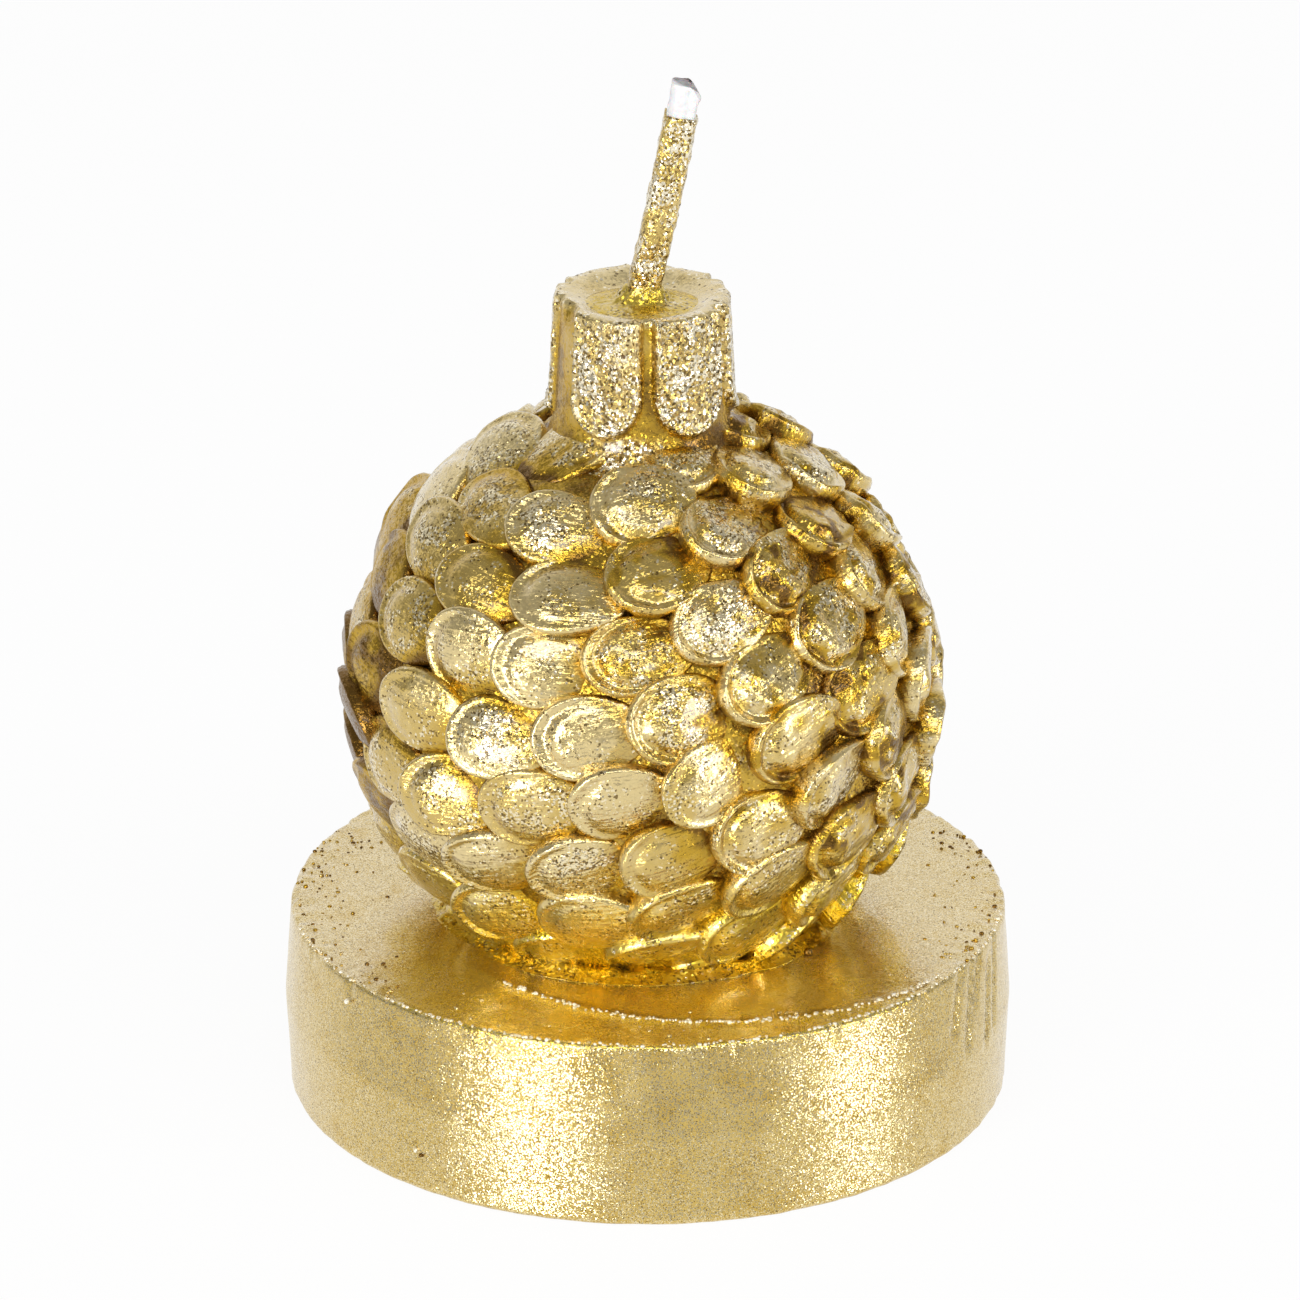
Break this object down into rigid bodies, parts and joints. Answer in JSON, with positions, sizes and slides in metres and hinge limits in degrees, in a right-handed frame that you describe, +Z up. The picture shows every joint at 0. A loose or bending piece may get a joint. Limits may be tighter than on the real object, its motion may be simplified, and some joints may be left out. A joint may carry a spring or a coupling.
{
  "type": "novelty candle",
  "caption": "Small gold-lacquered wax candle: a ball of overlapping scales with a fluted neck and a leaning wick, standing on a flat round base.",
  "frame": {"origin": "centre of the base disc's underside, on the surface that the candle stands on", "axes": "+Z up along the candle, +X to the right as seen from the front, the way the wick leans, +Y away from the viewer"},
  "size_m": [0.038, 0.038, 0.0548],
  "materials": {
    "gold_wax": "satin gold lacquer with fine metal flake, over paraffin wax",
    "gold_wick_coat": "gold lacquer with coarse flake, over waxed cotton",
    "primed_cotton": "white cotton soaked in clear wax",
    "tinned_steel": "bright tinned sheet"
  },
  "bodies": {
    "root": {"base_disc": "gold_wax", "foot_bead": "gold_wax", "bauble": "gold_wax", "bauble_neck": "gold_wax", "neck_seal": "gold_wax", "wick": "primed_cotton", "wick_coat": "gold_wick_coat", "wick_sustainer": "tinned_steel"}
  },
  "joints": []
}
